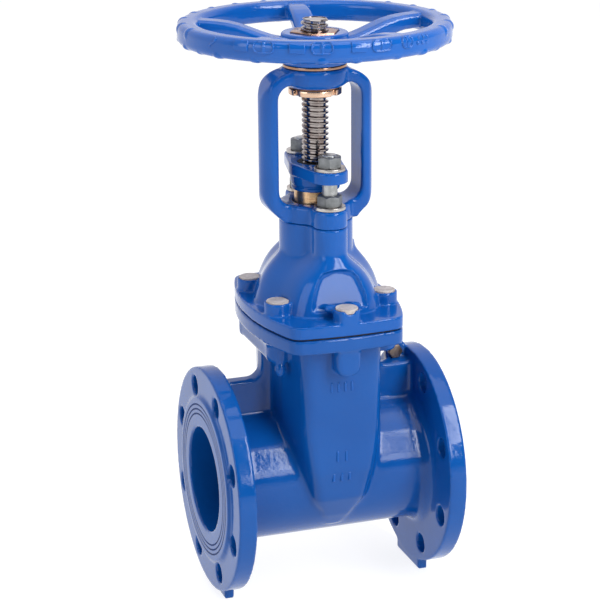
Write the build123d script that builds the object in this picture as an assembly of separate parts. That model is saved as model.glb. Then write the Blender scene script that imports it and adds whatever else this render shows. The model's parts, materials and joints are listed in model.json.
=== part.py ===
from build123d import *

import math
import os

# Rising-stem, resilient-seated, flanged gate valve, shown shut.
# Frame: +Z up along the stem, +X along the pipe, origin under the stem axis
# at the level of the feet. All dimensions in millimetres.

# ---------------------------------------------------------------- sizes ----
BORE_Z = 114.0            # height of the pipe axis above the feet
BORE_R = 50.0             # DN100 bore
FACE_TO_FACE = 229.0      # over the raised faces

FLANGE_R = 107.5
LUG_HOLE_R = 4.0
FLANGE_BACK = 94.5        # distance of the flange's inner side from the stem axis
RAISED_FACE_R = 79.0
RAISED_FACE_H = 3.0
PIPE_R = 62.0
BOLT_CIRCLE_R = 90.0
BOLT_COUNT = 8
BOLT_HOLE_R = 9.5

BODY_FLANGE_BOTTOM = BORE_Z + 144.4
BODY_FLANGE_TOP = BORE_Z + 157.9
GASKET_TOP = BORE_Z + 159.5
BONNET_FLANGE_TOP = BORE_Z + 171.0
BOSS_TOP = BORE_Z + 183.4
BOLT_SEAT = BORE_Z + 167.5
BOLT_HEAD_R = 9.0
PLUG_R = 10.3             # wax plug over each bonnet bolt
PLUG_BOTTOM = BORE_Z + 180.2
NECK_TOP = BORE_Z + 248.0
YOKE_PLATE_TOP = BORE_Z + 265.0
BONNET_BOLTS = [(0, 84), (0, -84), (52, 42), (52, -42), (-52, 42), (-52, -42)]

STEM_R = 12.5
STEM_TOP = BORE_Z + 433.5
THREAD_PITCH = 5.0
STUD_Y = 39.5             # gland studs, front and back of the stem
STUD_R = 7.0

YOKE_HALF_DEPTH = 17.0
YOKE_INNER_X = 40.2
YOKE_OUTER_X = 54.2       # at the middle of the bowed outer side of an arm
YOKE_EDGE_X = 46.5        # at the front and back edges of an arm
YOKE_TOP = BORE_Z + 390.0
LOCK_RING_BOTTOM = BORE_Z + 365.0

WHEEL_R = 125.0
WHEEL_INNER_R = 105.5
WHEEL_BOTTOM = BORE_Z + 413.5
WHEEL_TOP = BORE_Z + 433.0
HUB_R = 31.0
SPOKES = 5
SPOKE_PHASE = 8.0
HEX_ACROSS_FLATS = 41.0


# -------------------------------------------------------------- helpers ----
def cyl(r, z0, z1, x=0.0, y=0.0):
    """Upright cylinder between two heights."""
    return Pos(x, y, (z0 + z1) / 2) * Cylinder(r, z1 - z0)


def tube(r_out, r_in, z0, z1, x=0.0, y=0.0):
    """Upright ring."""
    return cyl(r_out, z0, z1, x, y) - cyl(r_in, z0 - 1, z1 + 1, x, y)


def pipe(r, x0, x1, y=0.0, z=BORE_Z):
    """Cylinder lying along X."""
    return Pos((x0 + x1) / 2, y, z) * Rot(0, 90, 0) * Cylinder(r, x1 - x0)


def side_pipe(r, side, near, far, y=0.0, z=BORE_Z):
    """Cylinder along X on the +1 or -1 side, between two distances from the middle."""
    x0, x1 = sorted((side * near, side * far))
    return pipe(r, x0, x1, y, z)


def block(x0, x1, y0, y1, z0, z1):
    """Box given by its six limits."""
    size = Box(x1 - x0, y1 - y0, z1 - z0)
    return Pos((x0 + x1) / 2, (y0 + y1) / 2, (z0 + z1) / 2) * size


def prism_y(points, y0, y1):
    """Closed XZ outline pushed along Y."""
    face = make_face(Polyline(*[(x, y0, z) for x, z in points], close=True))
    return extrude(face, amount=y1 - y0, dir=(0, 1, 0))


def prism_x(points, x0, x1):
    """Closed YZ outline pushed along X."""
    face = make_face(Polyline(*[(x0, y, z) for y, z in points], close=True))
    return extrude(face, amount=x1 - x0, dir=(1, 0, 0))


def prism_z(points, z0, z1, corner=0.0):
    """Closed XY outline pushed up, with rounded upright edges."""
    face = make_face(Polyline(*[(x, y, z0) for x, y in points], close=True))
    if corner:
        face = fillet(face.vertices(), corner)
    return extrude(face, amount=z1 - z0, dir=(0, 0, 1))


def turned(points):
    """Solid of revolution about Z from an (r, z) outline."""
    face = make_face(Polyline(*[(r, 0, z) for r, z in points], close=True))
    return revolve(face, Axis.Z)


def mirrored_pairs(points):
    """Close a right-hand outline, listed bottom to top, with its mirror image."""
    return points + [(-a, b) for a, b in reversed(points)]


def hexagon(across_flats, z0, z1, x=0.0, y=0.0, turn=0.0):
    """Upright hexagonal prism."""
    corner_r = across_flats / math.sqrt(3)
    shape = RegularPolygon(corner_r, 6)
    return Pos(x, y, z0) * Rot(0, 0, turn) * extrude(shape, amount=z1 - z0)


def cover_outline(inset=0.0):
    """Face of the bonnet joint: two bowed sides, two bowed ends, round corners."""
    side, end = 70.0 - inset, 94.5 - inset
    corner_x, corner_y, corner_r = 52.0 - inset, 91.0 - inset, 14.0
    edges = [
        ThreePointArc((corner_x, -corner_y), (side, 0), (corner_x, corner_y)),
        ThreePointArc((corner_x, corner_y), (0, end), (-corner_x, corner_y)),
        ThreePointArc((-corner_x, corner_y), (-side, 0), (-corner_x, -corner_y)),
        ThreePointArc((-corner_x, -corner_y), (0, -end), (corner_x, -corner_y)),
    ]
    face = make_face(edges)
    return fillet(face.vertices(), corner_r)


def cover_plate(z0, z1, inset=0.0):
    """Plate with the outline of the bonnet joint."""
    return Pos(0, 0, z0) * extrude(cover_outline(inset), amount=z1 - z0)


def lobed_outline(centre_r, lobe_r, lobe_y, waist_r):
    """Face of a round plate with a lobe in front and behind, waists blended."""
    face = Circle(centre_r) + Pos(0, lobe_y) * Circle(lobe_r)
    face = face + Pos(0, -lobe_y) * Circle(lobe_r)
    waists = [v for v in face.vertices() if abs(v.X) > 1.0]
    return fillet(waists, waist_r)


def rounded_rim(solid, z, r):
    """Round every edge that lies at one height."""
    edges = [e for e in solid.edges() if abs(e.center().Z - z) < 0.01]
    return fillet(edges, r)


# ----------------------------------------------------------------- body ----
# Half-thickness of the gate pocket against height above the pipe axis.
POCKET_XZ = [(6, -44), (9.7, -37), (16, -23), (23, -15), (30, -6), (31.5, 0),
             (34.5, 11), (38.5, 26), (42, 38), (45, 49), (47, 61), (47, 150)]
POCKET_YZ = [(44, -44), (57, -30), (70, -9), (76, 20), (76, 150)]
# Height above the pipe axis, half-width and reach of the pocket's narrow end faces.
POCKET_ENDS = [(-46, 8, 44), (-30, 14.5, 57), (-9, 22.5, 70), (4, 26, 72.7), (20, 30, 76),
               (32, 33, 76), (48, 36, 76), (65, 37.5, 76), (150, 38, 76)]
POCKET_CORNER_R = 12.0
CHAMBER_XZ = [(11, -44), (18, -15), (24, 0), (30, 26), (36, 49), (38, 61), (38, 170)]
CHAMBER_YZ = [(30, -44), (48, -28), (61, -9), (68, 20), (68, 170)]

# Wedge: half-thickness and half-width against height above the pipe axis.
WEDGE_XZ = [(9, -50), (17, 0), (25, 50), (27, 62), (27, 66)]
WEDGE_YZ = [(28, -38), (43, -23), (56, -9), (62, 22), (62, 50), (26, 66)]
SEAT_GAP = 0.5


def lifted(points):
    """Heights given above the pipe axis, moved to heights above the feet."""
    return [(a, b + BORE_Z) for a, b in points]


def pocket_section(level, half_width, reach):
    """Plan of the gate pocket at one height, with rounded upright corners."""
    quarter = [(47, 0), (46, 34), (half_width, reach)]
    points = quarter + [(-x, y) for x, y in reversed(quarter)]
    points = points + [(-x, -y) for x, y in quarter[1:]]
    points = points + [(x, -y) for x, y in reversed(quarter[1:])]
    face = make_face(Polyline(*[(x, y, BORE_Z + level) for x, y in points], close=True))
    return fillet(face.vertices(), POCKET_CORNER_R)


def make_body():
    pocket = prism_y(mirrored_pairs(lifted(POCKET_XZ)), -90, 90)
    pocket = pocket & loft([pocket_section(*row) for row in POCKET_ENDS], ruled=True)

    neck_pipe = pipe(PIPE_R, -FLANGE_BACK, FLANGE_BACK)
    body = neck_pipe + pocket

    rib_top = BORE_Z + 96.5
    sweep_r = 12.0
    for side in (1, -1):
        flange = side_pipe(FLANGE_R, side, FLANGE_BACK, FACE_TO_FACE / 2 - RAISED_FACE_H)
        raised = side_pipe(RAISED_FACE_R, side, FLANGE_BACK, FACE_TO_FACE / 2)
        body = body + flange + raised

        # Cone that carries the pipe out into the flange.
        blend = turned([(0, 0), (PIPE_R + 6, 0), (PIPE_R + 2.6, 2.6), (PIPE_R + 0.8, 6),
                        (PIPE_R, 11), (0, 11)])
        blend = Pos(side * FLANGE_BACK, 0, BORE_Z) * Rot(0, -90 * side, 0) * blend
        body = body + blend

        # Web over the pipe, sweeping up to the joint flange.
        sweep = [(57 + sweep_r - sweep_r * math.cos(math.radians(a)),
                  rib_top + sweep_r - sweep_r * math.sin(math.radians(a)))
                 for a in range(90, -1, -15)]
        web = [(40, BORE_Z + 40), (FLANGE_BACK + 1, BORE_Z + 40), (FLANGE_BACK + 1, rib_top)]
        web = web + sweep + [(57, BODY_FLANGE_BOTTOM + 2), (40, BODY_FLANGE_BOTTOM + 2)]
        body = body + prism_y([(side * x, z) for x, z in web], -8, 8)

        # Flat foot under the flange.
        body = body + block(side * 99.5 - 4.7, side * 99.5 + 4.7, -29, 29, 0, 12)

    body = body + cover_plate(BODY_FLANGE_BOTTOM, BODY_FLANGE_TOP)

    # Bolt bosses under the joint: two end ones, and four joined by side haunches.
    for x, y in BONNET_BOLTS:
        low = BORE_Z + (125 if x else 119)
        boss = cyl(11.5 if x else 12.7, low, BODY_FLANGE_BOTTOM + 2, x, y)
        boss = rounded_rim(boss, low, 4.0 if x else 9.0)
        body = body + (boss & cover_plate(low - 1, BODY_FLANGE_BOTTOM + 2, inset=2.5))
    haunch = block(-63.0, 63.0, -42, 42, BORE_Z + 126.5, BODY_FLANGE_BOTTOM + 2)
    low_edges = haunch.edges().filter_by(Axis.Y).group_by(Axis.Z)[0]
    body = body + chamfer(low_edges, 2.0)

    # Lug on the web of one side, tapped for the earthing screw.
    lug = block(75, FLANGE_BACK + 0.5, 9, 18, BORE_Z + 84, BORE_Z + 112)
    body = body + fillet(lug.edges().filter_by(Axis.Y).group_by(Axis.Z)[-1], 5.0)
    body = body + block(75, FLANGE_BACK + 0.5, 7, 10, BORE_Z + 84, BORE_Z + 96)
    body = body - earthing_hole(LUG_HOLE_R, 4, 22)

    chamber = prism_y(mirrored_pairs(lifted(CHAMBER_XZ)), -90, 90)
    chamber = chamber & prism_x(mirrored_pairs(lifted(CHAMBER_YZ)), -60, 60)
    chamber_plan = [(38, 40), (30, 68), (-30, 68), (-38, 40), (-38, -40), (-30, -68), (30, -68),
                    (38, -40)]
    chamber = chamber & prism_z(chamber_plan, BORE_Z - 60, BORE_Z + 170, 6.0)
    rails = block(-4, 4, 64, 74, BORE_Z - 2, BODY_FLANGE_TOP)
    rails = rails + block(-4, 4, -74, -64, BORE_Z - 2, BODY_FLANGE_TOP)
    slot = prism_y([(x + math.copysign(SEAT_GAP, x), z)
                    for x, z in mirrored_pairs(lifted(WEDGE_XZ))], -90, 90)
    seats = (pipe(PIPE_R - 3, -60, 60) - slot) & (
        prism_z(chamber_plan, BORE_Z - 70, BORE_Z + 70) + pipe(PIPE_R - 1, -60, 60))
    body = (body - (chamber - rails)) + (seats & body_envelope())
    body = body - pipe(BORE_R, -FACE_TO_FACE, FACE_TO_FACE)

    for k in range(BOLT_COUNT):
        a = math.radians(22.5 + 45 * k)
        y, z = BOLT_CIRCLE_R * math.cos(a), BORE_Z + BOLT_CIRCLE_R * math.sin(a)
        for side in (1, -1):
            body = body - side_pipe(BOLT_HOLE_R, side, FLANGE_BACK - 4, FACE_TO_FACE / 2, y, z)
    for x, y in BONNET_BOLTS:
        body = body - cyl(6.05, BORE_Z + 124, BODY_FLANGE_TOP + 1, x, y)

    # Gasket grooves turned into the raised faces.
    for r in (63.0, 67.5, 72.0):
        for side in (1, -1):
            outer = side_pipe(r + 0.7, side, FACE_TO_FACE / 2 - 0.6, FACE_TO_FACE / 2 + 1)
            inner = side_pipe(r - 0.7, side, FACE_TO_FACE / 2 - 1, FACE_TO_FACE / 2 + 2)
            body = body - (outer - inner)
    return body


def earthing_hole(r, y0, y1):
    """Cylinder along Y through the earthing lug."""
    return Pos(82.8, (y0 + y1) / 2, BORE_Z + 104) * Rot(90, 0, 0) * Cylinder(r, y1 - y0)


def make_earthing_screw():
    """Hex-head screw on the earthing lug, head towards the front."""
    head = Rot(90, 0, 0) * extrude(RegularPolygon(7.2, 6), amount=5.0)
    head = Pos(82.8, 9, BORE_Z + 104) * head
    return head + earthing_hole(LUG_HOLE_R, 8, 20)


def body_envelope():
    """Space inside the pocket and the pipe, where seat metal may stand."""
    pocket = prism_y(mirrored_pairs(lifted(POCKET_XZ)), -90, 90)
    pocket = pocket & prism_x(mirrored_pairs(lifted(POCKET_YZ)), -60, 60)
    return pocket + pipe(PIPE_R, -FLANGE_BACK, FLANGE_BACK)


# --------------------------------------------------------------- bonnet ----
# Plan of the dome at rising heights: half-width at the middle, at two points
# towards the end, and the reach of the rounded end.
DOME = [
    (169.5, 60.5, 52.0, 40.0, 71.0),
    (186.0, 55.5, 46.5, 36.5, 69.0),
    (197.0, 50.5, 41.5, 32.5, 66.5),
    (207.0, 43.5, 34.0, 26.5, 63.0),
    (215.0, 37.0, 26.0, 19.5, 59.0),
    (224.0, 34.0, 19.5, 13.8, 55.0),
]


def dome_section(level, middle, quarter, shoulder, reach):
    """Closed, smooth plan outline of the dome at one height."""
    z = BORE_Z + level
    y_quarter, y_shoulder = 0.43 * reach, 0.82 * reach
    first = [(middle, 0), (quarter, y_quarter), (shoulder, y_shoulder),
             (0.62 * shoulder, 0.965 * reach)]
    second = [(0, reach)] + [(-x, y) for x, y in reversed(first[1:])]
    upper = first + second
    lower = [(-x, -y) for x, y in upper]
    points = [Vector(x, y, z) for x, y in upper + lower]
    return make_face(Spline(*points, periodic=True))


def make_bonnet():
    bonnet = cover_plate(GASKET_TOP, BONNET_FLANGE_TOP)
    dome = loft([dome_section(*row) for row in DOME])
    neck = extrude(lobed_outline(34.5, 16.0, STUD_Y, 10.0), amount=NECK_TOP - (BORE_Z + 212))
    bonnet = bonnet + dome + Pos(0, 0, BORE_Z + 212) * neck

    # Recessed arch panels, front and back.
    arch = [(27, 176), (25.5, 186), (22.5, 196), (18.5, 205), (14, 210), (0, 212)]
    arch = [(x, z + BORE_Z) for x, z in arch]
    outline = arch + [(-x, z) for x, z in reversed(arch[:-1])]
    for side in (1, -1):
        y0, y1 = sorted((side * 40, side * 90))
        window = prism_y(outline, y0, y1)
        lean = math.degrees(math.atan2(11, 43))
        wedge = Pos(0, side * 65.5, BORE_Z + 176) * Rot(side * lean, 0, 0) * Pos(
            0, side * 20, 20) * Box(80, 40, 100)
        bonnet = bonnet - (window & wedge)

    for x, y in BONNET_BOLTS:
        boss = rounded_rim(cyl(12.5, GASKET_TOP, BOSS_TOP, x, y), BOSS_TOP, 1.2)
        bonnet = bonnet + (boss & cover_plate(GASKET_TOP, BOSS_TOP))

    # Room for the raised wedge, then the roof bore for the back-seat bush.
    low = [(38, 38), (31, 63), (-31, 63), (-38, 38), (-38, -38), (-31, -63), (31, -63), (38, -38)]
    mid = [(36, 30), (28, 56), (-28, 56), (-36, 30), (-36, -30), (-28, -56), (28, -56), (36, -30)]
    space = prism_z(low, GASKET_TOP - 1, BORE_Z + 176, 6.0)
    space = space + prism_z(mid, BORE_Z + 175, BORE_Z + 187, 6.0)
    space = space + cyl(34, BORE_Z + 186, BORE_Z + 198)
    wings = block(-11.5, 11.5, -68, 68, GASKET_TOP - 1, BORE_Z + 166)
    rails = block(-4, 4, 64, 74, GASKET_TOP, BORE_Z + 166)
    rails = rails + block(-4, 4, -74, -64, GASKET_TOP, BORE_Z + 166)
    bonnet = bonnet - (space + (wings - rails))
    bonnet = bonnet - cyl(13.2, BORE_Z + 190, NECK_TOP + 1)
    bonnet = bonnet - cyl(20.2, BORE_Z + 200, NECK_TOP + 1)
    for x, y in BONNET_BOLTS:
        bonnet = bonnet - cyl(6.6, GASKET_TOP - 1, BOSS_TOP, x, y)
        bonnet = bonnet - cyl(BOLT_HEAD_R + 0.4, BOLT_SEAT, BOSS_TOP, x, y)
        bonnet = bonnet - cyl(PLUG_R + 0.1, PLUG_BOTTOM - 0.2, BOSS_TOP + 1, x, y)
    for y in (STUD_Y, -STUD_Y):
        bonnet = bonnet - cyl(STUD_R, BORE_Z + 224, NECK_TOP + 1, 0, y)
    return bonnet


def make_gasket():
    gasket = cover_plate(BODY_FLANGE_TOP, GASKET_TOP, inset=2.5)
    opening = [(39, 40), (33, 69), (-33, 69), (-39, 40), (-39, -40), (-33, -69), (33, -69),
               (39, -40)]
    gasket = gasket - prism_z(opening, BODY_FLANGE_TOP - 1, GASKET_TOP + 1, 6.0)
    for x, y in BONNET_BOLTS:
        gasket = gasket - cyl(6.6, BODY_FLANGE_TOP - 1, GASKET_TOP + 1, x, y)
    return gasket


def make_bonnet_bolts():
    """Socket-head screws sunk in the bonnet bosses."""
    seat, head_h = BOLT_SEAT, 12.0
    bolts = []
    for x, y in BONNET_BOLTS:
        bolt = cyl(6.0, BORE_Z + 126, seat, x, y) + cyl(BOLT_HEAD_R, seat, seat + head_h, x, y)
        bolts.append(bolt - hexagon(10.0, seat + 5, seat + head_h + 1, x, y))
    return bolts


def make_plugs():
    """Wax discs poured over the sunk screws."""
    top = BOSS_TOP + 0.6
    return [rounded_rim(cyl(PLUG_R, PLUG_BOTTOM, top, x, y), top, 0.5) for x, y in BONNET_BOLTS]


# ----------------------------------------------------------------- yoke ----
def arms_plan():
    """Plan of the yoke frame: flat front and back, bowed outer sides, rounded edges."""
    x, y = YOKE_EDGE_X, YOKE_HALF_DEPTH
    face = make_face([
        Line((-x, -y), (x, -y)),
        ThreePointArc((x, -y), (YOKE_OUTER_X, 0), (x, y)),
        Line((x, y), (-x, y)),
        ThreePointArc((-x, y), (-YOKE_OUTER_X, 0), (-x, -y)),
    ])
    return fillet(face.vertices(), 2.5)


def make_yoke():
    base = extrude(lobed_outline(34.5, 16.0, STUD_Y, 10.0), amount=YOKE_PLATE_TOP - NECK_TOP)
    yoke = Pos(0, 0, NECK_TOP) * base

    z_low, z_high = NECK_TOP, BORE_Z + 388
    corner_low, corner_high = z_low + 18.5, z_high - 3
    outline = [(35.5, z_low + 0.5), (YOKE_OUTER_X, corner_low), (YOKE_OUTER_X, corner_high),
               (18, z_high + 1)]
    frame = prism_y(mirrored_pairs(outline), -YOKE_HALF_DEPTH, YOKE_HALF_DEPTH)
    for corner_z, corner_r in ((corner_low, 26.0), (corner_high, 30.0)):
        corner = [e for e in frame.edges().filter_by(Axis.Y)
                  if abs(e.center().Z - corner_z) < 0.01]
        frame = fillet(corner, corner_r)
    window_low, window_high = BORE_Z + 265, BORE_Z + 376
    hole = block(-YOKE_INNER_X, YOKE_INNER_X, -40, 40, window_low, window_high)
    corners = hole.edges().filter_by(Axis.Y)
    hole = fillet(corners, 13.0)
    frame = (frame - hole) & (Pos(0, 0, z_low - 1) * extrude(arms_plan(), amount=160))

    cup = rounded_rim(cyl(31, BORE_Z + 371.5, YOKE_TOP), BORE_Z + 371.5, 8.5)
    yoke = yoke + frame + cup
    yoke = yoke - cyl(20.6, NECK_TOP - 1, YOKE_PLATE_TOP + 1)
    yoke = yoke - cyl(17.1, BORE_Z + 360, YOKE_TOP + 1)
    for y in (STUD_Y, -STUD_Y):
        yoke = yoke - cyl(STUD_R + 0.5, NECK_TOP - 1, YOKE_PLATE_TOP + 1, 0, y)
    return yoke


# ---------------------------------------------------------------- gland ----
WASHER_H = 3.0
NUT_H = 10.1
NUT_FLATS = 20.5
GLAND_BOTTOM = BORE_Z + 290.4
GLAND_TOP = BORE_Z + 301.2
LOWER_WASHER_TOP = YOKE_PLATE_TOP + WASHER_H
LOWER_NUT_TOP = LOWER_WASHER_TOP + NUT_H
UPPER_WASHER_TOP = GLAND_TOP + WASHER_H
UPPER_NUT_TOP = UPPER_WASHER_TOP + NUT_H


def make_studs():
    studs = []
    for y in (STUD_Y, -STUD_Y):
        stud = cyl(STUD_R, BORE_Z + 225, UPPER_NUT_TOP + 1.6, 0, y)
        studs.append(chamfer(stud.edges().group_by(Axis.Z)[-1], 1.2))
    return studs


def make_nuts(z0, z1, bore_r, turn):
    nuts = []
    for y in (STUD_Y, -STUD_Y):
        nut = hexagon(NUT_FLATS, z0, z1, 0, y, turn)
        corner_r = NUT_FLATS / math.sqrt(3)
        crown = turned([(0, z0), (corner_r - 1.5, z0), (corner_r + 0.6, z0 + 1.2),
                        (corner_r + 0.6, z1 - 1.6), (corner_r - 2.2, z1), (0, z1)])
        nut = nut & (Pos(0, y, 0) * crown)
        nuts.append(nut - cyl(bore_r, z0 - 1, z1 + 1, 0, y))
    return nuts


def make_washers(z0, z1):
    return [tube(14.4, STUD_R + 0.4, z0, z1, 0, y) for y in (STUD_Y, -STUD_Y)]


def make_gland_flange():
    rounds = [Circle(25.0), Pos(0, STUD_Y) * Circle(16.5), Pos(0, -STUD_Y) * Circle(16.5)]
    plate = make_face(make_hull([edge for face in rounds for edge in face.edges()]))
    gland = Pos(0, 0, GLAND_BOTTOM) * extrude(plate, amount=GLAND_TOP - GLAND_BOTTOM)
    gland = rounded_rim(gland, GLAND_TOP, 1.5)
    collar = turned([(0, BORE_Z + 276), (22.4, BORE_Z + 276), (22.8, BORE_Z + 279),
                     (21.4, BORE_Z + 279.6), (21.4, BORE_Z + 280.6), (23.0, BORE_Z + 281.2),
                     (24.4, GLAND_BOTTOM + 1), (0, GLAND_BOTTOM + 1)])
    gland = gland + collar
    gland = gland - cyl(STEM_R + 0.4, BORE_Z + 270, GLAND_TOP + 1)
    gland = gland - cyl(16.5, GLAND_TOP - 3.5, GLAND_TOP + 1)
    for y in (STUD_Y, -STUD_Y):
        gland = gland - cyl(STUD_R + 0.4, GLAND_BOTTOM - 1, GLAND_TOP + 1, 0, y)
    return gland


def make_packing():
    """Four square-section packing rings, one above the other."""
    low, pitch = BORE_Z + 217, 6.0
    return [tube(20.1, STEM_R + 0.1, low + k * pitch, low + (k + 1) * pitch - 0.2)
            for k in range(4)]


# ----------------------------------------------------------------- stem ----
def make_stem():
    low, thread_low = BORE_Z + 40, BORE_Z + 296
    outline = [(0, low), (STEM_R, low), (STEM_R, BORE_Z + 80), (16.5, BORE_Z + 80),
               (16.5, BORE_Z + 84), (STEM_R, BORE_Z + 86.5), (STEM_R, thread_low)]
    root_r, flank = STEM_R - 2.3, 0.7
    turns = int((STEM_TOP - 2 - thread_low) // THREAD_PITCH)
    for k in range(turns):
        z = thread_low + k * THREAD_PITCH
        outline += [(root_r, z + flank), (root_r, z + 2.4), (STEM_R, z + 2.4 + flank),
                    (STEM_R, z + THREAD_PITCH)]
    outline += [(STEM_R, STEM_TOP - 1.5), (STEM_R - 1.5, STEM_TOP), (0, STEM_TOP)]
    stem = turned(outline)
    return stem - pin_hole()


def pin_hole():
    """Cross hole for the pin that locks the stem in the wedge nut."""
    return Pos(0, 0, BORE_Z + 52) * Rot(90, 0, 0) * Cylinder(3.0, 34.0)


def make_stem_nut():
    sleeve = cyl(17.0, LOCK_RING_BOTTOM, YOKE_TOP + 2)
    collar = tube(29.5, 16, YOKE_TOP + 0.3, YOKE_TOP + 2.8)
    drive = hexagon(HEX_ACROSS_FLATS, YOKE_TOP + 2.8, BORE_Z + 422.6)
    nut = sleeve + collar + drive
    return nut - cyl(STEM_R + 0.35, BORE_Z + 360, STEM_TOP)


def make_lock_ring():
    """Round nut with spanner slots under the yoke head."""
    ring = tube(24.5, 17.0, LOCK_RING_BOTTOM, BORE_Z + 370.4)
    for k in range(4):
        slot = Pos(24.5, 0, BORE_Z + 367) * Box(6, 6, 10)
        ring = ring - Rot(0, 0, 26 + 90 * k) * slot
    return ring


def make_handwheel():
    z0, z1 = WHEEL_BOTTOM, WHEEL_TOP
    middle = (WHEEL_INNER_R + WHEEL_R) / 2
    section = Pos(middle, (z0 + z1) / 2) * RectangleRounded(
        WHEEL_R - WHEEL_INNER_R, z1 - z0, 6.0)
    rim = revolve(Plane.XZ * section, Axis.Z)

    hub = turned([(0, BORE_Z + 393.2), (30, BORE_Z + 393.2), (HUB_R, BORE_Z + 395),
                  (HUB_R, BORE_Z + 420), (HUB_R - 1.5, BORE_Z + 421.5), (0, BORE_Z + 421.5)])
    wheel = rim + hub

    top = [(24, 414.5), (40, 417), (50, 420), (60, 423.5), (70, 426.8), (80, 429), (92, 430.3),
           (108, 431)]
    bottom = [(108, 417.5), (90, 416.5), (75, 413), (60, 408), (45, 402.5), (24, 400)]
    outline = [(r, BORE_Z + z) for r, z in top + bottom]
    spoke = prism_y(outline, -10.5, 10.5)
    crest = [e for e in spoke.edges()
             if abs(abs(e.center().Y) - 10.5) < 0.01 and 26 < e.center().X < 107]
    spoke = fillet(crest, 4.5)
    for k in range(SPOKES):
        wheel = wheel + Rot(0, 0, SPOKE_PHASE + k * 360 / SPOKES) * spoke
    wheel = wheel - hexagon(HEX_ACROSS_FLATS + 0.4, BORE_Z + 390, BORE_Z + 430)
    return wheel - screw_hole(3.0)


def screw_hole(r):
    """Radial hole through the hub wall, between two spokes."""
    across = Rot(0, 0, SPOKE_PHASE - 36) * Pos(26, 0, BORE_Z + 407) * Rot(0, 90, 0)
    return across * Cylinder(r, 9.0)


# ---------------------------------------------------------------- wedge ----
def wedge_solid(inset):
    """Tapered gate: round below, wide shoulders above."""
    profile = [(max(x - inset, 3), z) for x, z in lifted(WEDGE_XZ)]
    sides = [(y - inset, z) for y, z in lifted(WEDGE_YZ)]
    plan = prism_x(mirrored_pairs(sides), -40, 40) + pipe(BORE_R - 0.45 - inset, -40, 40)
    top = BORE_Z + 66 - inset
    plan = plan & block(-40, 40, -80, 80, 0, top)
    return plan & prism_y(mirrored_pairs(profile), -80, 80)


def nut_pocket():
    return block(-17.2, 17.2, -17.2, 17.2, BORE_Z + 38, BORE_Z + 90)


def make_wedge():
    core = wedge_solid(3.0) - nut_pocket()
    cover = wedge_solid(0.0) - wedge_solid(3.0) - nut_pocket()
    shoes = []
    for side in (1, -1):
        y0, y1 = sorted((side * 56, side * 66.9))
        shoe = block(-10.5, 10.5, y0, y1, BORE_Z + 18, BORE_Z + 46)
        s0, s1 = sorted((side * 63.2, side * 70))
        shoe = shoe - block(-4.6, 4.6, s0, s1, BORE_Z, BORE_Z + 60)
        core = core - block(-10.5, 10.5, y0, y1, BORE_Z + 18, BORE_Z + 46)
        cover = cover - block(-10.5, 10.5, y0, y1, BORE_Z + 18, BORE_Z + 46)
        shoes.append(shoe)
    return core, cover, shoes


def make_wedge_nut():
    nut = block(-17, 17, -17, 17, BORE_Z + 38, BORE_Z + 66)
    return nut - cyl(STEM_R, BORE_Z + 40, BORE_Z + 70) - pin_hole()


# --------------------------------------------------------------- output ----
def build_all():
    core, cover, shoes = make_wedge()
    gland_nuts = make_nuts(UPPER_WASHER_TOP + 0.05, UPPER_NUT_TOP, STUD_R + 0.05, 11.0)
    return {
        "valve_body": make_body(),
        "earthing_screw": make_earthing_screw(),
        "bonnet_gasket": make_gasket(),
        "bonnet": make_bonnet(),
        "bonnet_bolts": make_bonnet_bolts(),
        "bolt_sealing_plugs": make_plugs(),
        "yoke": make_yoke(),
        "gland_studs": make_studs(),
        "yoke_washers": make_washers(YOKE_PLATE_TOP, LOWER_WASHER_TOP),
        "yoke_nuts": make_nuts(LOWER_WASHER_TOP, LOWER_NUT_TOP, STUD_R, -5.0),
        "gland_flange": make_gland_flange(),
        "gland_washers": make_washers(GLAND_TOP, UPPER_WASHER_TOP),
        "gland_nut_back": gland_nuts[0],
        "gland_nut_front": gland_nuts[1],
        "gland_bush": tube(20.0, STEM_R + 0.15, BORE_Z + 241, BORE_Z + 276),
        "stem_wiper": tube(16.5, STEM_R + 0.1, GLAND_TOP - 3.5, GLAND_TOP),
        "packing_rings": make_packing(),
        "packing_base_ring": tube(20.1, STEM_R + 0.3, BORE_Z + 213, BORE_Z + 216.9),
        "back_seat_bush": tube(20.2, STEM_R + 0.1, BORE_Z + 200, BORE_Z + 213),
        "thrust_washer": tube(23.0, 17.4, BORE_Z + 370.6, BORE_Z + 371.5),
        "lock_ring": make_lock_ring(),
        "stem_nut": make_stem_nut(),
        "handwheel": make_handwheel(),
        "wheel_set_screw": screw_hole(3.0),
        "stem": make_stem(),
        "wedge_core": core,
        "wedge_rubber": cover,
        "wedge_nut": make_wedge_nut(),
        "wedge_pin": pin_hole(),
        "guide_shoes": shoes,
    }


def save(name, shape):
    solids = shape if isinstance(shape, list) else [shape]
    found = []
    for item in solids:
        found.extend(item.solids())
    export_step(Compound(children=found), os.path.join("parts", name + ".step"))


os.makedirs("parts", exist_ok=True)
for node_name, node_shape in build_all().items():
    save(node_name, node_shape)
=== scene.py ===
import json
import math

import bmesh
import bpy
import numpy as np
from mathutils import Matrix, Vector
from mathutils.bvhtree import BVHTree


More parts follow.
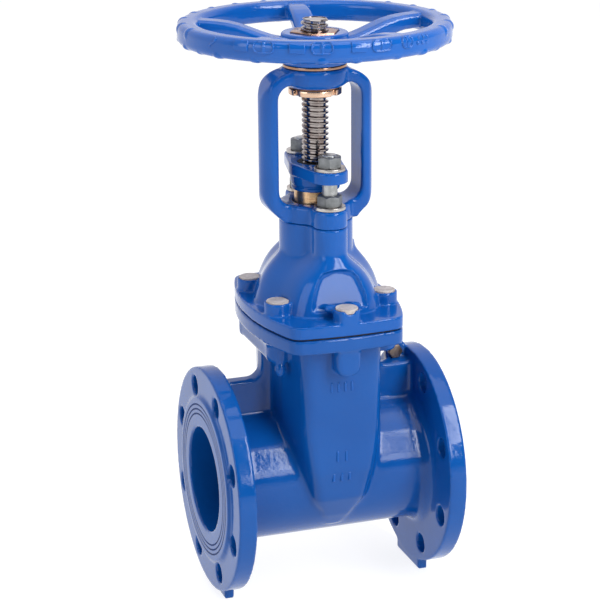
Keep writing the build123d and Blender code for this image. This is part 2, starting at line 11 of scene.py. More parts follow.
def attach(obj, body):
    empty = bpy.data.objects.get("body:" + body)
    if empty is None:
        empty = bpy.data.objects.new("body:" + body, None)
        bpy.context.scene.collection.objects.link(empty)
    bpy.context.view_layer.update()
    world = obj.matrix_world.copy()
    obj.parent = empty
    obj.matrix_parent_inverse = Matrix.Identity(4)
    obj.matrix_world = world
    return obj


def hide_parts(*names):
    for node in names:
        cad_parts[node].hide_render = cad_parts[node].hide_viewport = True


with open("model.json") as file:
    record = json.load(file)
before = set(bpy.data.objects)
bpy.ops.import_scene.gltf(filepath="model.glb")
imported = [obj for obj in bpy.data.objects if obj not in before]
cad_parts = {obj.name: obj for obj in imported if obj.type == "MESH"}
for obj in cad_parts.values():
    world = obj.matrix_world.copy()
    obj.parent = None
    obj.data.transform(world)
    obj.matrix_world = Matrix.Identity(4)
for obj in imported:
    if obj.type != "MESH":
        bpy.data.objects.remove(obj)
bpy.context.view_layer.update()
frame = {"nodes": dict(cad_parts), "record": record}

MM = 0.001
BORE_Z = 0.114
NODES = frame["nodes"]


# ------------------------------------------------------------ materials ----
def new_material(name):
    mat = bpy.data.materials.new(name)
    mat.use_nodes = True
    tree = mat.node_tree
    shader = tree.nodes["Principled BSDF"]
    coords = tree.nodes.new("ShaderNodeTexCoord").outputs["Object"]
    return mat, tree, shader, coords


def noise(tree, coords, scale, detail=4.0, roughness=0.5, distortion=0.0):
    node = tree.nodes.new("ShaderNodeTexNoise")
    node.inputs["Scale"].default_value = scale
    node.inputs["Detail"].default_value = detail
    node.inputs["Roughness"].default_value = roughness
    node.inputs["Distortion"].default_value = distortion
    tree.links.new(coords, node.inputs["Vector"])
    return node.outputs["Fac"]


def ramp(tree, value, stops):
    """Colour ramp; each stop is (position, colour or grey level)."""
    node = tree.nodes.new("ShaderNodeValToRGB")
    elements = node.color_ramp.elements
    while len(elements) < len(stops):
        elements.new(0.5)
    for element, (position, colour) in zip(elements, stops):
        element.position = position
        if not isinstance(colour, tuple):
            colour = (colour, colour, colour)
        element.color = (*colour, 1.0)
    tree.links.new(value, node.inputs["Fac"])
    return node.outputs["Color"]


def maths(tree, operation, a, b):
    node = tree.nodes.new("ShaderNodeMath")
    node.operation = operation
    for socket, value in zip(node.inputs, (a, b)):
        if isinstance(value, (int, float)):
            socket.default_value = value
        else:
            tree.links.new(value, socket)
    return node.outputs[0]


def mix(tree, factor, a, b):
    node = tree.nodes.new("ShaderNodeMix")
    node.data_type = "RGBA"
    for socket, value in ((node.inputs[0], factor), (node.inputs[6], a), (node.inputs[7], b)):
        if isinstance(value, (int, float)):
            socket.default_value = value
        elif isinstance(value, tuple):
            socket.default_value = (*value, 1.0)
        else:
            tree.links.new(value, socket)
    return node.outputs[2]


def bump(tree, shader, height, distance, under=None):
    node = tree.nodes.new("ShaderNodeBump")
    node.inputs["Distance"].default_value = distance
    node.inputs["Strength"].default_value = 1.0
    tree.links.new(height, node.inputs["Height"])
    if under is not None:
        tree.links.new(under, node.inputs["Normal"])
    tree.links.new(node.outputs["Normal"], shader.inputs["Normal"])
    return node.outputs["Normal"]


def scaled(tree, coords, scale):
    node = tree.nodes.new("ShaderNodeMapping")
    node.inputs["Scale"].default_value = scale
    tree.links.new(coords, node.inputs["Vector"])
    return node.outputs["Vector"]


GROOVES = (0.063, 0.0675, 0.072)
GROOVE_FROM, GROOVE_TO = 0.060, 0.075
# Half widths of a groove as shares of the span above: its flat bottom, and its soft edge.
GROOVE_FLAT, GROOVE_EDGE = 0.040, 0.075
FACE_X = 0.1138           # just inside the raised flange faces


def face_grooves(tree, coords):
    """One in the turned grooves of the flange faces, nought elsewhere."""
    split = tree.nodes.new("ShaderNodeSeparateXYZ")
    tree.links.new(coords, split.inputs[0])
    up = maths(tree, "SUBTRACT", split.outputs["Z"], BORE_Z)
    across = split.outputs["Y"]
    square = maths(tree, "ADD", maths(tree, "MULTIPLY", up, up),
                   maths(tree, "MULTIPLY", across, across))
    radius = maths(tree, "SQRT", square, 0.0)
    span = GROOVE_TO - GROOVE_FROM
    place_in = maths(tree, "DIVIDE", maths(tree, "SUBTRACT", radius, GROOVE_FROM), span)
    stops = []
    for r in GROOVES:
        middle = (r - GROOVE_FROM) / span
        stops += [(middle - GROOVE_EDGE, 0.0), (middle - GROOVE_FLAT, 1.0),
                  (middle + GROOVE_FLAT, 1.0), (middle + GROOVE_EDGE, 0.0)]
    lines = ramp(tree, place_in, stops)
    reach = maths(tree, "ABSOLUTE", split.outputs["X"], 0.0)
    side = maths(tree, "GREATER_THAN", reach, FACE_X)
    return maths(tree, "MULTIPLY", lines, side)


def blue_paint(name, rough_cast=0.1, grooved=False, painted_light_gain=1.0, ior=1.48):
    """Thick glossy epoxy over sand-cast iron; the brightness factor makes a lighter or darker copy
    of the same paint for one piece: painted light or painted shade.
    """
    mat, tree, shader, coords = new_material(name)
    broad = noise(tree, coords, 14.0, 3.0)
    fine = noise(tree, coords, 420.0, 2.0)
    colour = ramp(tree, broad, [(0.30, (0.0022 * painted_light_gain, 0.070 * painted_light_gain, 0.305 * painted_light_gain)),
                                (0.70, (0.0036 * painted_light_gain, 0.086 * painted_light_gain, 0.355 * painted_light_gain))])
    speck = ramp(tree, noise(tree, coords, 900.0, 1.0), [(0.70, 0.0), (0.78, 1.0)])
    colour = mix(tree, maths(tree, "MULTIPLY", speck, 0.10), colour, (0.02, 0.12, 0.45))
    # The turned grooves are darkened as painted shade in the recesses; the paint there is the same
    # blue, only rougher.
    if grooved:
        grooves = face_grooves(tree, coords)
        colour = mix(tree, maths(tree, "MULTIPLY", grooves, 0.90), colour, (0.001, 0.018, 0.10))
    tree.links.new(colour, shader.inputs["Base Color"])
    rough = ramp(tree, noise(tree, coords, 45.0, 4.0), [(0.3, 0.07), (0.75, 0.15)])
    if grooved:
        rough = maths(tree, "MAXIMUM", rough, maths(tree, "MULTIPLY", grooves, 0.75))
    tree.links.new(rough, shader.inputs["Roughness"])
    shader.inputs["IOR"].default_value = ior
    patches = ramp(tree, noise(tree, coords, 22.0, 2.0), [(0.50, 0.0), (0.68, 1.0)])
    lumps = maths(tree, "MULTIPLY", noise(tree, coords, 170.0, 3.0, 0.6), patches)
    below = bump(tree, shader, lumps, 0.0012 * rough_cast)
    peel = bump(tree, shader, noise(tree, coords, 260.0, 1.5), 0.00007, under=below)
    bump(tree, shader, fine, 0.000015, under=peel)
    return mat


def metal(name, dark, light, rough, scale=(1, 1, 1), grain=90.0, height=0.00004, metallic=1.0,
          stain=None):
    """Bare or plated metal with drawn grain; stain is a second tone in broad patches."""
    mat, tree, shader, coords = new_material(name)
    grain_fac = noise(tree, scaled(tree, coords, scale), grain, 5.0, 0.6)
    colour = ramp(tree, grain_fac, [(0.30, dark), (0.72, light)])
    if stain:
        cloud = ramp(tree, noise(tree, coords, 60.0, 4.0, 0.6, 0.6), [(0.45, 0.0), (0.72, 1.0)])
        colour = mix(tree, cloud, colour, stain)
    tree.links.new(colour, shader.inputs["Base Color"])
    tree.links.new(ramp(tree, noise(tree, coords, 130.0, 4.0), [(0.3, rough[0]), (0.7, rough[1])]),
                   shader.inputs["Roughness"])
    shader.inputs["Metallic"].default_value = metallic
    bump(tree, shader, grain_fac, height)
    return mat


def dull(name, dark, light, rough, scale, height, specular=0.5):
    """Non-metal with mottled colour."""
    mat, tree, shader, coords = new_material(name)
    fac = noise(tree, coords, scale, 5.0, 0.6)
    tree.links.new(ramp(tree, fac, [(0.32, dark), (0.70, light)]), shader.inputs["Base Color"])
    tree.links.new(ramp(tree, noise(tree, coords, scale * 2), [(0.3, rough[0]), (0.7, rough[1])]),
                   shader.inputs["Roughness"])
    shader.inputs["Specular IOR Level"].default_value = specular
    bump(tree, shader, noise(tree, coords, scale * 3, 4.0), height)
    return mat


# One paint in three copies: the body's is darker, painted shade, the wheel's is lighter, painted
# light, and the bonnet, yoke and gland flange share the middle one.
PAINT = blue_paint("blue_epoxy", ior=1.36, painted_light_gain=1.10)
PAINT_BODY = blue_paint("blue_epoxy_body_shaded", 0.03, grooved=True, painted_light_gain=0.95, ior=1.36)
PAINT_WHEEL = blue_paint("blue_epoxy_wheel_lit", 0.3, painted_light_gain=1.20)
ZINC = metal("zinc_plate", (0.14, 0.15, 0.155), (0.25, 0.26, 0.27), (0.38, 0.60),
             grain=160.0, height=0.00005, metallic=0.85)
WASHER = metal("washer_steel", (0.40, 0.38, 0.36), (0.62, 0.60, 0.57), (0.22, 0.38),
               grain=120.0, stain=(0.35, 0.26, 0.20))
STAINLESS = metal("stainless", (0.26, 0.23, 0.22), (0.50, 0.46, 0.44), (0.10, 0.22),
                  scale=(1, 1, 30), grain=25.0, height=0.00003, stain=(0.16, 0.11, 0.095))
STUD = metal("stud_steel", (0.30, 0.31, 0.31), (0.50, 0.51, 0.51), (0.25, 0.42), grain=140.0)
BRASS = metal("brass", (0.55, 0.33, 0.17), (0.78, 0.56, 0.33), (0.20, 0.36),
              scale=(1, 1, 8), grain=70.0, stain=(0.30, 0.17, 0.10))
RING_BRONZE = metal("bronze_turned", (0.58, 0.36, 0.24), (0.80, 0.58, 0.43), (0.16, 0.28),
                    scale=(1, 1, 8), grain=50.0)
BRONZE = metal("bronze_dull", (0.22, 0.11, 0.07), (0.36, 0.20, 0.12), (0.35, 0.55), grain=90.0)
NUT_BRONZE = metal("bronze_bright", (0.32, 0.17, 0.10), (0.52, 0.31, 0.20), (0.14, 0.28),
                   grain=60.0, stain=(0.30, 0.20, 0.17))
RUSTY = metal("weathered_screw", (0.16, 0.12, 0.10), (0.30, 0.24, 0.20), (0.35, 0.55),
              grain=120.0, stain=(0.12, 0.07, 0.05))
IRON = metal("bare_iron", (0.12, 0.12, 0.13), (0.24, 0.24, 0.25), (0.45, 0.65), metallic=0.9)
RUBBER = dull("black_rubber", (0.010, 0.010, 0.012), (0.022, 0.022, 0.024), (0.55, 0.75),
              80.0, 0.00008, 0.3)
NYLON = dull("natural_nylon", (0.52, 0.49, 0.42), (0.66, 0.63, 0.55), (0.4, 0.5), 60.0, 0.00003)


def wax_material():
    """Poured sealing wax: beige with grey clouds and dark specks."""
    mat, tree, shader, coords = new_material("sealing_wax")
    clouds = noise(tree, coords, 120.0, 5.0, 0.65, 0.8)
    colour = ramp(tree, clouds, [(0.28, (0.30, 0.255, 0.24)), (0.48, (0.44, 0.39, 0.365)),
                                 (0.72, (0.60, 0.55, 0.51))])
    specks = ramp(tree, noise(tree, coords, 420.0, 3.0), [(0.62, 0.0), (0.72, 1.0)])
    colour = mix(tree, maths(tree, "MULTIPLY", specks, 0.55), colour, (0.12, 0.13, 0.17))
    tree.links.new(colour, shader.inputs["Base Color"])
    shader.inputs["Roughness"].default_value = 0.42
    bump(tree, shader, noise(tree, coords, 200.0, 4.0), 0.0003)
    return mat


WAX = wax_material()

NODE_MATERIAL = {
    "bonnet_bolts": ZINC, "gland_studs": STUD, "yoke_washers": WASHER, "yoke_nuts": ZINC,
    "gland_washers": WASHER, "gland_nut_back": ZINC, "gland_nut_front": ZINC,
    "wheel_set_screw": ZINC, "earthing_screw": RUSTY, "gland_bush": BRASS,
    "packing_base_ring": BRASS, "back_seat_bush": BRASS, "lock_ring": RING_BRONZE,
    "stem_nut": NUT_BRONZE, "wedge_nut": BRASS, "thrust_washer": BRONZE,
    "bonnet_gasket": RUBBER, "stem_wiper": RUBBER, "packing_rings": RUBBER,
    "wedge_rubber": RUBBER, "stem": STAINLESS, "wedge_pin": STAINLESS,
    "bolt_sealing_plugs": WAX, "wedge_core": IRON, "guide_shoes": NYLON,
    "valve_body": PAINT_BODY, "bonnet": PAINT, "yoke": PAINT, "gland_flange": PAINT,
    "handwheel": PAINT_WHEEL,
}


def paint(obj, mat):
    obj.data.materials.clear()
    obj.data.materials.append(mat)


for node, mat in NODE_MATERIAL.items():
    paint(NODES[node], mat)


# -------------------------------------------------------------- meshing ----
def link(name, mesh):
    obj = bpy.data.objects.new(name, mesh)
    bpy.context.scene.collection.objects.link(obj)
    return obj


def evaluated_mesh(obj):
    graph = bpy.context.evaluated_depsgraph_get()
    graph.update()
    return bpy.data.meshes.new_from_object(obj.evaluated_get(graph))


def vertex_array(mesh):
    co = np.empty(len(mesh.vertices) * 3, np.float32)
    mesh.vertices.foreach_get("co", co)
    return co.reshape(-1, 3).astype(np.float64)


def relax(mesh, steps, weight, convex):
    """Smooth a dense mesh. Inner corners fill in fully, outer edges by the share convex."""
    v = vertex_array(mesh)
    edges = np.empty(len(mesh.edges) * 2, np.int32)
    mesh.edges.foreach_get("vertices", edges)
    a, b = edges.reshape(-1, 2).T
    count = np.bincount(np.concatenate([a, b]), minlength=len(v)).astype(float)
    count[count == 0] = 1
    mesh.calc_loop_triangles()
    tris = np.empty(len(mesh.loop_triangles) * 3, np.int32)
    mesh.loop_triangles.foreach_get("vertices", tris)
    tris = tris.reshape(-1, 3)
    w = weight(v)
    for step in range(steps):
        if step % 4 == 0:
            face_n = np.cross(v[tris[:, 1]] - v[tris[:, 0]], v[tris[:, 2]] - v[tris[:, 0]])
            n = np.zeros_like(v)
            for k in range(3):
                for axis in range(3):
                    n[:, axis] += np.bincount(tris[:, k], face_n[:, axis], minlength=len(v))
            n /= np.maximum(np.linalg.norm(n, axis=1, keepdims=True), 1e-12)
        total = np.zeros_like(v)
        for axis in range(3):
            total[:, axis] = (np.bincount(a, v[b, axis], minlength=len(v))
                              + np.bincount(b, v[a, axis], minlength=len(v)))
        move = total / count[:, None] - v
        outward = np.einsum("ij,ij->i", move, n)
        share = np.where(outward >= 0, 1.0, convex) * w * 0.5
        v += move * share[:, None]
    mesh.vertices.foreach_set("co", v.astype(np.float32).ravel())
    mesh.update()


SNAP = 0.8                # share of a voxel within which a point is put back on the CAD


def casting(name, source, voxel, steps, weight, convex=0.45, mat=PAINT):
    """Dense mesh of a cast piece with filled inner corners and softened edges."""
    remesh = source.modifiers.new("remesh", "REMESH")
    remesh.mode = "VOXEL"
    remesh.voxel_size = voxel
    remesh.use_smooth_shade = True
    mesh = evaluated_mesh(source)
    source.modifiers.remove(remesh)
    tree = BVHTree.FromPolygons([v.co for v in source.data.vertices],
                                [p.vertices for p in source.data.polygons])
    co = vertex_array(mesh)
    for i, p in enumerate(co):
        hit, _, _, distance = tree.find_nearest(p, voxel * SNAP)
        if hit is not None:
            co[i] = hit
    mesh.vertices.foreach_set("co", co.astype(np.float32).ravel())
    mesh.update()
    relax(mesh, steps, weight, convex)
    mesh.shade_smooth()
    obj = link(name, mesh)
    paint(obj, mat)
    return obj


def node_copy(node, name):
    """Loose copy of a CAD node's mesh, welded, to build a visual piece from."""
    mesh = NODES[node].data.copy()
    bm = bmesh.new()
    bm.from_mesh(mesh)
    bmesh.ops.remove_doubles(bm, verts=bm.verts, dist=1e-6)
    bm.to_mesh(mesh)
    bm.free()
    return link(name, mesh)


BEVEL_ANGLE = 30.0        # edges sharper than this are bevelled
SHARP_ANGLE = 40.0        # and edges sharper than this stay sharp to the eye


def crisp(node, width):
    """Machined piece: the CAD shape with small bevels and smooth curved faces."""
    obj = node_copy(node, node + "_visual")
    bm = bmesh.new()
    bm.from_mesh(obj.data)
    bmesh.ops.dissolve_limit(bm, angle_limit=math.radians(1.0), verts=bm.verts, edges=bm.edges)
    bm.to_mesh(obj.data)
    bm.free()
    bevel = obj.modifiers.new("bevel", "BEVEL")
    bevel.width = width
    bevel.segments = 3
    bevel.limit_method = "ANGLE"
    bevel.angle_limit = math.radians(BEVEL_ANGLE)
    bevel.miter_outer = "MITER_ARC"
    bevel.harden_normals = False
    mesh = evaluated_mesh(obj)
    obj.modifiers.clear()
    old = obj.data
    obj.data = mesh
    bpy.data.meshes.remove(old)
    obj.data.shade_smooth()
    smooth_by_angle(obj, SHARP_ANGLE)
    paint(obj, NODE_MATERIAL[node])
    return place(obj, node)


def smooth_by_angle(obj, degrees):
    """Keep edges sharper than an angle sharp, shade the rest smooth."""
    mesh = obj.data
    bm = bmesh.new()
    bm.from_mesh(mesh)
    limit = math.radians(degrees)
    for edge in bm.edges:
        sharp = len(edge.link_faces) != 2 or edge.calc_face_angle(0.0) > limit
        edge.smooth = not sharp
    bm.to_mesh(mesh)
    bm.free()


BODY_OF = {n: body for body, names in frame["record"]["behaviour"]["bodies"].items()
           for n in names}


def place(obj, node, replace=True):
    """Hang a visual piece on the CAD body of a node, standing in for that node."""
    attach(obj, BODY_OF[node])
    if replace:
        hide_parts(node)
    return obj


# ------------------------------------------------------------- castings ----
def smoothstep(x, low, high):
    t = np.clip((x - low) / (high - low), 0.0, 1.0)
    return t * t * (3 - 2 * t)


def body_weight(v):
    """Soft between the flanges, firmer on the flanges and the bonnet joint."""
    flange = smoothstep(np.abs(v[:, 0]), 0.0905, 0.0960)
    joint = smoothstep(v[:, 2], BORE_Z + 0.1425, BORE_Z + 0.1450)
    return 1.0 - 0.72 * np.maximum(flange, joint)


def bonnet_weight(v):
    low = 1.0 - smoothstep(v[:, 2], BORE_Z + 0.1715, BORE_Z + 0.1735)
    high = smoothstep(v[:, 2], BORE_Z + 0.2445, BORE_Z + 0.2470)
    return 1.0 - 0.70 * np.maximum(low, high)


def yoke_weight(v):
    low = 1.0 - smoothstep(v[:, 2], BORE_Z + 0.2490, BORE_Z + 0.2515)
    return 1.0 - 0.70 * low


def even_weight(v):
    return np.ones(len(v))


def add_lump(bm, centre, radii, segments=20):
    """Ellipsoid standing partly out of a casting."""
    made = bmesh.ops.create_uvsphere(bm, u_segments=segments, v_segments=12, radius=1.0)
    for vert in made["verts"]:
        vert.co = Vector(centre) + Vector([c * r for c, r in zip(vert.co, radii)])


def add_tube(bm, points, radius, sides=10):
    """Round rod with flat ends through a line of points."""
    rings = []
    last = len(points) - 1
    for i, point in enumerate(points):
        before = points[max(i - 1, 0)]
        after = points[min(i + 1, last)]
        along = (after - before).normalized()
        side = along.orthogonal().normalized()
        other = along.cross(side)
        rings.append([bm.verts.new(point + radius * (math.cos(a) * side + math.sin(a) * other))
                      for a in (2 * math.pi * k / sides for k in range(sides))])
    for a, b in zip(rings, rings[1:]):
        # Line up the second ring with the first before joining them.
        shift = min(range(sides), key=lambda k: (b[k].co - a[0].co).length)
        for k in range(sides):
            bm.faces.new((a[k], a[(k + 1) % sides], b[(k + 1 + shift) % sides],
                          b[(k + shift) % sides]))
    bm.faces.new(list(reversed(rings[0])))
    bm.faces.new(rings[-1])


def with_extras(source, build):
    """Add closed extra shapes to a loose copy, to be fused by the casting step."""
    bm = bmesh.new()
    bm.from_mesh(source.data)
    build(bm)
    bm.to_mesh(source.data)
    bm.free()


def cast_node(node, voxel, steps, weight, extras=None, **options):
    source = node_copy(node, node + "_source")
    if extras:
        with_extras(source, extras)
    obj = casting(node + "_visual", source, voxel, steps, weight, **options)
    bpy.data.objects.remove(source)
    return place(obj, node)


def body_extras(bm):
    add_lump(bm, (-0.053, -0.050, BORE_Z + 0.119), (0.0055, 0.005, 0.0075))


def bonnet_extras(bm):
    """Two ears beside the front and back bosses."""
    for side in (1, -1):
        for x in (-0.0116, 0.0116):
            add_lump(bm, (x, side * 0.0730, BORE_Z + 0.1805), (0.0064, 0.0052, 0.0042))


# Handwheel rim: outer upper corner, where the raised marks stand.
RIM_CORNER = (0.119, BORE_Z + 0.427, 0.006)


def on_shoulder(angle, tilt, rise=0.0):
    """Point on the rim's outer corner; tilt is 0 facing out and 90 facing up.

    Below 0 the point runs down the upright outer face by the same arc length.
    """
    r0, z0, corner = RIM_CORNER
    t, a = math.radians(tilt), math.radians(angle)
    if tilt < 0:
        r, z = r0 + corner + rise, z0 + t * corner
    else:
        r, z = r0 + (corner + rise) * math.cos(t), z0 + (corner + rise) * math.sin(t)
    return Vector((r * math.cos(a), r * math.sin(a), z))


def rim_patch(bm, start, end, low, high, height):
    """Thin skin over part of the rim's shoulder; height(u, v) is its rise, u and v 0 to 1."""
    columns, rows = max(int((end - start) * 6), 10), 36
    grid = [[bm.verts.new(on_shoulder(start + (end - start) * i / columns,
                                      low + (high - low) * j / rows,
                                      height(i / columns, j / rows)))
             for j in range(rows + 1)] for i in range(columns + 1)]
    for i in range(columns):
        for j in range(rows):
            bm.faces.new((grid[i][j], grid[i + 1][j], grid[i + 1][j + 1], grid[i][j + 1]))


SUNK = -0.0007            # how far the edge of a raised skin lies under the casting
RIM_R = 0.125


def edge_distance(u, v, width, height, corner):
    """Distance inside a rounded rectangle, negative outside; u and v run 0 to 1."""
    x, y = abs(u - 0.5) * width, abs(v - 0.5) * height
    dx, dy = x - (width / 2 - corner), y - (height / 2 - corner)
    outside = math.hypot(max(dx, 0.0), max(dy, 0.0)) + min(max(dx, dy), 0.0)
    return corner - outside


def pad(bm, start, end, low=-42.0, high=60.0, rise=0.0015):
    """Raised plain patch on the rim between two angles."""
    width, height = math.radians(end - start) * RIM_R, 0.0107

    def shape(u, v):
        inside = edge_distance(u, v, width, height, 0.0016)
        return SUNK + (rise - SUNK) * float(smoothstep(inside, 0.0002, 0.0011))
    rim_patch(bm, start, end, low, high, shape)


def pill(bm, start, end, low=-50.0, high=66.0, rise=0.0016):
    """Raised rounded frame with a lower middle and a bar across it."""
    width, height = math.radians(end - start) * RIM_R, 0.0121

    def shape(u, v):
        inside = edge_distance(u, v, width, height, 0.0052)
        wall = float(smoothstep(inside, 0.0001, 0.0009) - smoothstep(inside, 0.0015, 0.0024))
        bar = 1.0 - float(smoothstep(abs(u - 0.5) * width, 0.0008, 0.0017))
        floor = float(smoothstep(inside, 0.0001, 0.0009)) * 0.50
        high_part = max(wall, floor, bar * float(smoothstep(inside, 0.0008, 0.0016)) * 0.9)
        return SUNK + (rise - SUNK) * high_part
    rim_patch(bm, start, end, low, high, shape)


def wheel_marks(bm):
    """Raised foundry shapes on the front of the rim."""
    for start in (217.0, 240.5, 265.0):
        pad(bm, start, start + 7.0)
        pill(bm, start + 8.6, start + 18.0)
    pill(bm, 287.5, 293.5)
    for angle in (296.5, 299.2, 302.0):
        add_lump(bm, on_shoulder(angle, -14.0, -0.0006), (0.0021, 0.0021, 0.0021), 16)
        add_lump(bm, on_shoulder(angle + 0.8, 30.0, -0.0006), (0.0018, 0.0018, 0.0018), 16)
    hook = [on_shoulder(204.0 + 3.2 * math.sin(math.radians(t)) ** 2, -34.0 + t * 0.72, -0.0001)
            for t in range(0, 121, 10)]
    add_tube(bm, hook, 0.0012)


def wheel_extras(bm):
    """Faint finger lumps under the outer edge, uneven as cast."""
    for k in range(24):
        a = math.radians(15.0 * k + 2.5 * math.sin(1.7 * k))
        size = 0.0080 + 0.0008 * math.sin(2.3 * k)
        add_lump(bm, (0.1172 * math.cos(a), 0.1172 * math.sin(a), BORE_Z + 0.4166),
                 (size, size, 0.0042))
        if not 12 < k < 21:
            add_lump(bm, on_shoulder(15.0 * k + 5.0, 52.0, -0.0057), (0.0070, 0.0070, 0.0066), 14)


def raised_bar(bm, x, z, width, height, y, rise=0.0012):
    """Small upright bar with rounded edges on the front of the pocket."""
    columns, rows = 8, 12
    grid = []
    for i in range(columns + 1):
        line = []
        for j in range(rows + 1):
            u, v = i / columns, j / rows
            inside = edge_distance(u, v, width, height, width * 0.45)
            out = SUNK + (rise - SUNK) * float(smoothstep(inside, 0.0, width * 0.30))
            line.append(bm.verts.new((x + (u - 0.5) * width, y - out, z + (v - 0.5) * height)))
        grid.append(line)
    for i in range(columns):
        for j in range(rows):
            bm.faces.new((grid[i][j], grid[i + 1][j], grid[i + 1][j + 1], grid[i][j + 1]))


def body_marks(bm):
    """Three rows of plain raised bars on the pocket, in place of foundry lettering."""
    for z, y, count, pitch, size in ((0.1047, -0.076, 4, 0.0066, 0.0105),
                                     (0.0366, -0.076, 2, 0.0085, 0.0125),
                                     (0.0156, -0.0751, 3, 0.0078, 0.0095)):
        for k in range(count):
            x = -0.0018 + (k - (count - 1) / 2) * pitch
            raised_bar(bm, x, BORE_Z + z, 0.0037, size, y)


def extra_piece(name, node, mat, build):
    """Open skin laid on a casting, riding the same body."""
    mesh = bpy.data.meshes.new(name)
    bm = bmesh.new()
    build(bm)
    bm.to_mesh(mesh)
    bm.free()
    obj = link(name, mesh)
    obj.data.shade_smooth()
    paint(obj, mat)
    return place(obj, node, replace=False)


cast_node("valve_body", 0.0015, 20, body_weight, body_extras, mat=PAINT_BODY)
cast_node("bonnet", 0.0013, 10, bonnet_weight, bonnet_extras)
cast_node("yoke", 0.0011, 22, yoke_weight, convex=0.9)
cast_node("gland_flange", 0.0007, 8, even_weight)
cast_node("handwheel", 0.0009, 7, even_weight, wheel_extras, mat=PAINT_WHEEL)
extra_piece("rim_marks", "handwheel", PAINT_WHEEL, wheel_marks)
# The pocket bars take the middle copy of the paint, lighter than the body's painted-shade copy.
extra_piece("pocket_marks", "valve_body", PAINT, body_marks)


# ------------------------------------------------------- machined pieces ----
for node, width in (("yoke_nuts", 0.0004), ("gland_nut_back", 0.0004),
                    ("gland_nut_front", 0.0004), ("gland_washers", 0.0004),
                    ("yoke_washers", 0.0004), ("gland_studs", 0.0003), ("lock_ring", 0.0005),
                    ("stem_nut", 0.0006), ("gland_bush", 0.0006), ("earthing_screw", 0.0006),
                    ("bolt_sealing_plugs", 0.0003)):
    crisp(node, width)


def thread_rod(name, radius, root, pitch, low, high, hand, steps=72):
    """Trapezoid-threaded rod: one strip of the thread's profile wound round the axis."""
    crest_a, crest_b, root_a = 0.36, 0.50, 0.86
    profile = [(radius - 0.0003, 0.02), (radius, 0.07), (radius, crest_a - 0.05),
               (radius - 0.0003, crest_a), (root, crest_b), (root, root_a), (radius - 0.0003, 1.0)]
    turns = (high - low) / pitch + 2
    rows = int(turns * steps)
    verts, faces = [], []
    for i in range(rows + 1):
        angle = hand * 2 * math.pi * i / steps
        base = low - pitch + pitch * i / steps
        for r, f in profile:
            z = min(max(base + f * pitch, low), high)
            trim = max(0.0, 0.0015 - (high - z))
            reach = min(r, radius - trim)
            verts.append((reach * math.cos(angle), reach * math.sin(angle), z))
    n = len(profile)
    for i in range(rows):
        for k in range(n - 1):
            a, b = i * n + k, i * n + k + 1
            quad = (a, a + n, b + n, b)
            faces.append(quad if hand > 0 else tuple(reversed(quad)))
    # The last profile point of one turn and the first of the next lie together, and are welded.
    mesh = bpy.data.meshes.new(name)
    mesh.from_pydata(verts, [], faces)
    bm = bmesh.new()
    bm.from_mesh(mesh)
    bmesh.ops.remove_doubles(bm, verts=bm.verts, dist=2e-6)
    bmesh.ops.dissolve_degenerate(bm, edges=bm.edges, dist=2e-6)
    bm.to_mesh(mesh)
    bm.free()
    return link(name, mesh)


def lathe(bm, outline, steps=64):
    """Closed solid of revolution about Z from (r, z) points."""
    rings = []
    for r, z in outline:
        rings.append([bm.verts.new((r * math.cos(2 * math.pi * k / steps),
                                    r * math.sin(2 * math.pi * k / steps), z))
                      for k in range(steps)])
    for a, b in zip(rings, rings[1:]):
        for k in range(steps):
            bm.faces.new((a[k], a[(k + 1) % steps], b[(k + 1) % steps], b[k]))
    bm.faces.new(list(reversed(rings[0])))
    bm.faces.new(rings[-1])


def build_stem():
    radius, root = 0.0125, 0.0102
    top, thread_low = BORE_Z + 0.4335, BORE_Z + 0.296
    rod = thread_rod("stem_thread", radius, root, 0.005, thread_low, top, -1)
    rod.data.shade_smooth()
    smooth_by_angle(rod, 32.0)
    paint(rod, STAINLESS)
    place(rod, "stem", replace=False)
    mesh = bpy.data.meshes.new("stem_core")
    bm = bmesh.new()
    lathe(bm, [(radius, BORE_Z + 0.040), (radius, BORE_Z + 0.080), (0.0165, BORE_Z + 0.080),
               (0.0165, BORE_Z + 0.084), (radius, BORE_Z + 0.0865), (radius, thread_low),
               (root - 0.0001, thread_low + 0.002), (root - 0.0001, top - 0.0004)])
    bm.to_mesh(mesh)
    bm.free()
    core = link("stem_core", mesh)
    core.data.shade_smooth()
    smooth_by_angle(core, 32.0)
    paint(core, STAINLESS)
    place(core, "stem")


build_stem()


# ---------------------------------------------------------------- stage ----
def area_light(name, place_at, size, radiance):
    """Rectangular softbox whose power follows from its area and brightness."""
    data = bpy.data.lights.new(name, "AREA")
    data.shape = "RECTANGLE"
    data.size, data.size_y = size
    data.energy = radiance * math.pi * size[0] * size[1]
    lamp = bpy.data.objects.new(name, data)
    bpy.context.scene.collection.objects.link(lamp)
    lamp.location = place_at
    return lamp


def aim(lamp, target):
    direction = Vector(target) - lamp.location
    lamp.rotation_euler = direction.to_track_quat("-Z", "Y").to_euler()


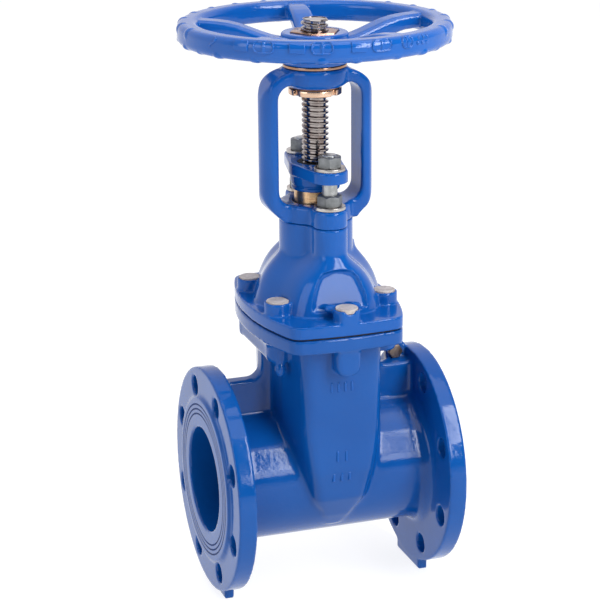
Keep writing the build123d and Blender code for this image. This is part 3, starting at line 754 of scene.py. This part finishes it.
def build_stage():
    mesh = bpy.data.meshes.new("floor")
    s = 40.0
    mesh.from_pydata([(-s, -s, 0), (s, -s, 0), (s, s, 0), (-s, s, 0)], [], [(0, 1, 2, 3)])
    floor = link("floor", mesh)
    mat, tree, shader, coords = new_material("paper")
    tone = ramp(tree, noise(tree, coords, 2.0), [(0.3, 0.29), (0.7, 0.31)])
    tree.links.new(tone, shader.inputs["Base Color"])
    shader.inputs["Roughness"].default_value = 0.9
    shader.inputs["Specular IOR Level"].default_value = 0.1
    # Evenly lit paper, the same on every side of the object.
    shader.inputs["Emission Color"].default_value = (0.84, 0.84, 0.84, 1.0)
    shader.inputs["Emission Strength"].default_value = 1.0
    paint(floor, mat)

    # Bright behind and overhead, dark on the camera's side.
    world = bpy.data.worlds.new("studio")
    bpy.context.scene.world = world
    world.use_nodes = True
    tree = world.node_tree
    back = tree.nodes["Background"]
    direction = tree.nodes.new("ShaderNodeTexCoord").outputs["Generated"]
    split = tree.nodes.new("ShaderNodeSeparateXYZ")
    tree.links.new(direction, split.inputs[0])
    depth = maths(tree, "ADD", maths(tree, "MULTIPLY", split.outputs["Y"], 0.5), 0.5)
    sky = ramp(tree, depth, [(0.38, (0.07, 0.08, 0.10)), (0.66, (0.92, 0.90, 0.95))])
    tree.links.new(sky, back.inputs["Color"])
    back.inputs["Strength"].default_value = 1.0

    for name, x0, x1, y, z, height, radiance in (
            ("window_a", 0.375, 0.56, -1.16, 1.08, 1.04, 13.0),
            ("window_b", 0.615, 0.90, -1.06, 1.12, 1.04, 13.0)):
        lamp = area_light(name, ((x0 + x1) / 2, y, z), (x1 - x0, height), radiance)
        lamp.rotation_euler = (math.radians(49.8), 0, 0)
    card = area_light("card", (0.508, -1.553, 0.585), (0.34, 0.30), 7.5)
    aim(card, (0, -0.06, 0.31))
    top = area_light("overhead", (0.1, -0.5, 2.5), (2.2, 2.0), 2.0)
    aim(top, (0, 0, 0.3))
    side = area_light("left_wall", (-2.4, -1.0, 1.2), (1.4, 1.8), 2.4)
    aim(side, (0, 0, 0.3))


def build_camera():
    azimuth, elevation, roll = math.radians(-18.66), math.radians(17.22), math.radians(-0.49)
    distance, focal_px, frame_px = 1.87649, 1991.13, 600
    target = Vector((-16.2 * MM, 0, 168.03 * MM + BORE_Z))
    back = Vector((math.sin(azimuth) * math.cos(elevation),
                   -math.cos(azimuth) * math.cos(elevation), math.sin(elevation)))
    right = Vector((math.cos(azimuth), math.sin(azimuth), 0))
    up = back.cross(right)
    right_r = right * math.cos(roll) + up * math.sin(roll)
    up_r = up * math.cos(roll) - right * math.sin(roll)
    data = bpy.data.cameras.new("camera")
    data.sensor_width = 36.0
    data.lens = focal_px * data.sensor_width / frame_px
    data.clip_start, data.clip_end = 0.05, 200
    camera = bpy.data.objects.new("camera", data)
    bpy.context.scene.collection.objects.link(camera)
    turn = Matrix((right_r, up_r, back)).transposed().to_4x4()
    camera.matrix_world = Matrix.Translation(target + back * distance) @ turn
    bpy.context.scene.camera = camera


build_stage()
build_camera()
bpy.context.scene.view_settings.view_transform = "Standard"
bpy.context.scene.view_settings.exposure = 0.0
